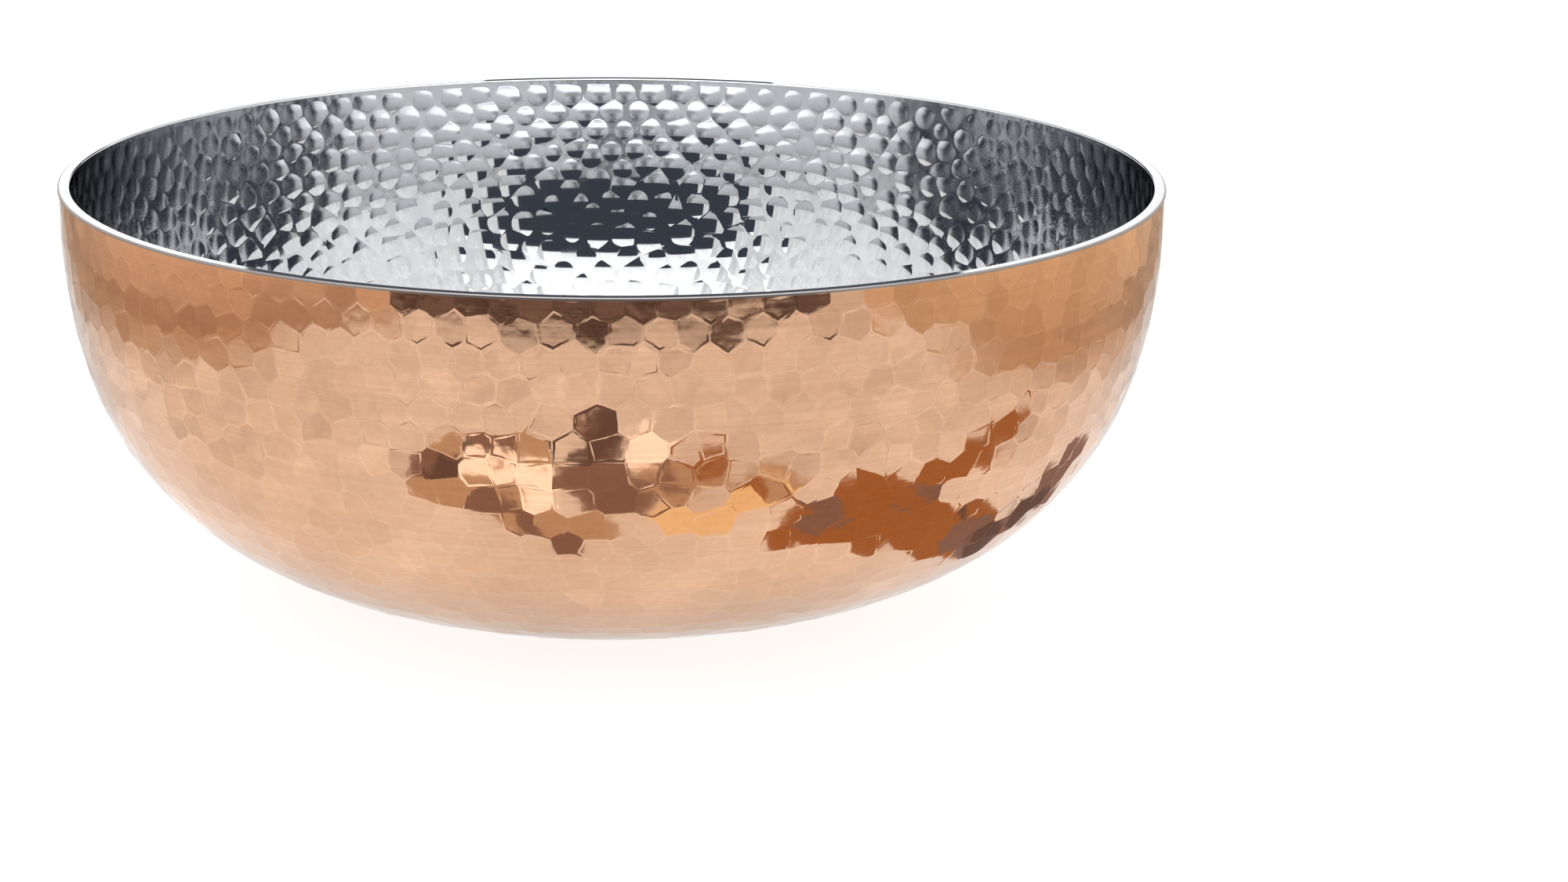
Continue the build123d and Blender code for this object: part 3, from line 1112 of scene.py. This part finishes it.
# Light that each card gives off: painted light of lit things lying on the table, the brightest white ones
# painted highlights
CARD_COLOURS = {
    "cream": (1.6, 1.6, 1.6),
    "tan": TAN,
    "brown": (0.31, 0.21, 0.185),
    "dark": (0.17, 0.12, 0.11),
    "amber": (1.15, 0.95, 0.60),
    "rust": (0.46, 0.21, 0.08)}

# Half sizes of a card, and how much higher each one lies than the one before it
SMALLEST_CARD = (11 * MM, 8 * MM)
LARGEST_CARD = (18 * MM, 13 * MM)
HEAP_STEP = 0.02 * MM

# Each heap's middle and half sizes in millimetres, angle in degrees, colours with the base's first, and
# number of small cards
HEAPS = [
    ((-86, -216), (35, 34), 15, "tan brown brown dark", 8),
    ((-58, -226), (30, 20), 10, "cream cream tan", 5),
    ((-42, -198), (18, 18), 0, "cream cream tan", 3),
    ((-34, -184), (36, 12), 5, "tan brown brown", 4),
    ((-72, -256), (36, 13), 15, "brown tan tan", 4),
    ((-12, -290), (12, 55), 4, "dark dark brown", 6),
    ((-6, -222), (22, 22), 0, "brown tan brown", 5),
    ((22, -272), (11, 40), 8, "cream", 2),
    ((30, -222), (24, 20), 0, "tan brown tan", 5),
    ((58, -243), (16, 12), 0, "rust dark rust", 3),
    ((82, -204), (24, 16), 20, "tan amber rust", 4),
    ((112, -146), (42, 28), 20, "rust rust brown", 9),
    ((48, -186), (32, 11), -5, "amber", 2),
    ((122, -85), (18, 42), -14, "rust brown dark", 7),
    ((166, -18), (56, 15), 42, "brown dark dark", 7),
    ((180, -118), (50, 12), 24, "rust rust brown", 6),
    ((226, -98), (44, 10), 22, "rust rust brown", 5)]


def on_table(middle, angle, along, across):
    """Where a place in a shape is on the table, once the shape is turned and moved to its middle."""
    x = middle[0] + along * cos(angle) - across * sin(angle)
    y = middle[1] + along * sin(angle) + across * cos(angle)
    return x, y


def oval(middle, half, angle, height):
    """Outline of a flat oval card."""
    turns = np.linspace(0, FULL_TURN, ROUND_POINTS, endpoint=False)
    x, y = on_table(middle, angle, half[0] * np.cos(turns), half[1] * np.sin(turns))
    return [(*point, height) for point in zip(x, y)]


def props():
    """Heaps of small oval cards on the table, each heap on a base oval of its own size. They show only as
    broken reflections in the hammer marks. Each card glows with its colour as painted light, and the
    brightest white ones are painted highlights."""
    rng = np.random.default_rng(5)
    ovals = {colour: [] for colour in CARD_COLOURS}
    height = 0.0
    for middle, half, degrees, colours, count in HEAPS:
        middle, half = np.array(middle) * MM, np.array(half) * MM
        angle, colours = radians(degrees), colours.split()
        height += HEAP_STEP
        ovals[colours[0]].append(oval(middle, half, angle, height))
        for _ in range(count):
            away, turn = np.sqrt(rng.random()), rng.random() * FULL_TURN
            place = on_table(middle, angle, half[0] * away * cos(turn), half[1] * away * sin(turn))
            height += HEAP_STEP
            size = rng.uniform(SMALLEST_CARD, LARGEST_CARD)
            ovals[rng.choice(colours)].append(oval(place, size, rng.random() * pi, height))
    for colour, outlines in ovals.items():
        material, _ = glow(f"card_{colour}", CARD_COLOURS[colour])
        board(f"cards_{colour}", material, outlines)


# ---- floor and surroundings

def white_floor():
    """The pale floor that is seen. Most of its light is its own, so that it stays white up to the bowl."""
    material, tree = new_material("white_floor")
    shader = tree.nodes["Principled BSDF"]
    shader.inputs["Base Color"].default_value = (0.35, 0.35, 0.35, 1)
    shader.inputs["Roughness"].default_value = 0.8
    shader.inputs["Emission Color"].default_value = (*WHITE, 1)
    shader.inputs["Emission Strength"].default_value = 0.80
    board("floor", material, level(-FLOOR_HALF, FLOOR_HALF, -FLOOR_HALF, FLOOR_HALF), seen=True)


def surroundings():
    """White all round, and the dark room for what the bowl mirrors through the gap in the tent."""
    world = bpy.data.worlds.new("surroundings")
    bpy.context.scene.world = world
    world.use_nodes = True
    tree = world.node_tree
    kind = tree.nodes.new("ShaderNodeLightPath")
    room = tree.nodes.new("ShaderNodeBackground")
    mix = tree.nodes.new("ShaderNodeMixShader")
    tree.nodes["Background"].inputs["Color"].default_value = (*WHITE, 1)
    room.inputs["Color"].default_value = (*ROOM, 1)
    tree.links.new(kind.outputs["Is Glossy Ray"], mix.inputs["Fac"])
    tree.links.new(tree.nodes["Background"].outputs[0], mix.inputs[1])
    tree.links.new(room.outputs[0], mix.inputs[2])
    tree.links.new(mix.outputs[0], tree.nodes["World Output"].inputs["Surface"])


copper_metal = copper()
steel_metal = bright_steel()
outer = outer_shell(copper_metal)
inner = inner_shell(steel_metal)
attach(outer, "root")
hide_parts("outer_shell")
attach(inner, "root")
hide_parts("inner_shell")

drawn_wire = dull_metal(
    "drawn_wire", light=(0.62, 0.62, 0.63), dark=(0.42, 0.42, 0.44), roughness=0.35, depth=0.01 * MM)
tin_solder = dull_metal(
    "tin_solder", light=(0.66, 0.66, 0.64), dark=(0.45, 0.45, 0.45), roughness=0.45, depth=0.04 * MM)
for node, metal in (("rim_wire", drawn_wire), ("seam_solder", tin_solder), ("vent_plug", copper_metal)):
    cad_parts[node].material_slots[0].material = metal

studio_camera()
tent()
props()
white_floor()
surroundings()
bpy.context.scene.view_settings.view_transform = "Standard"
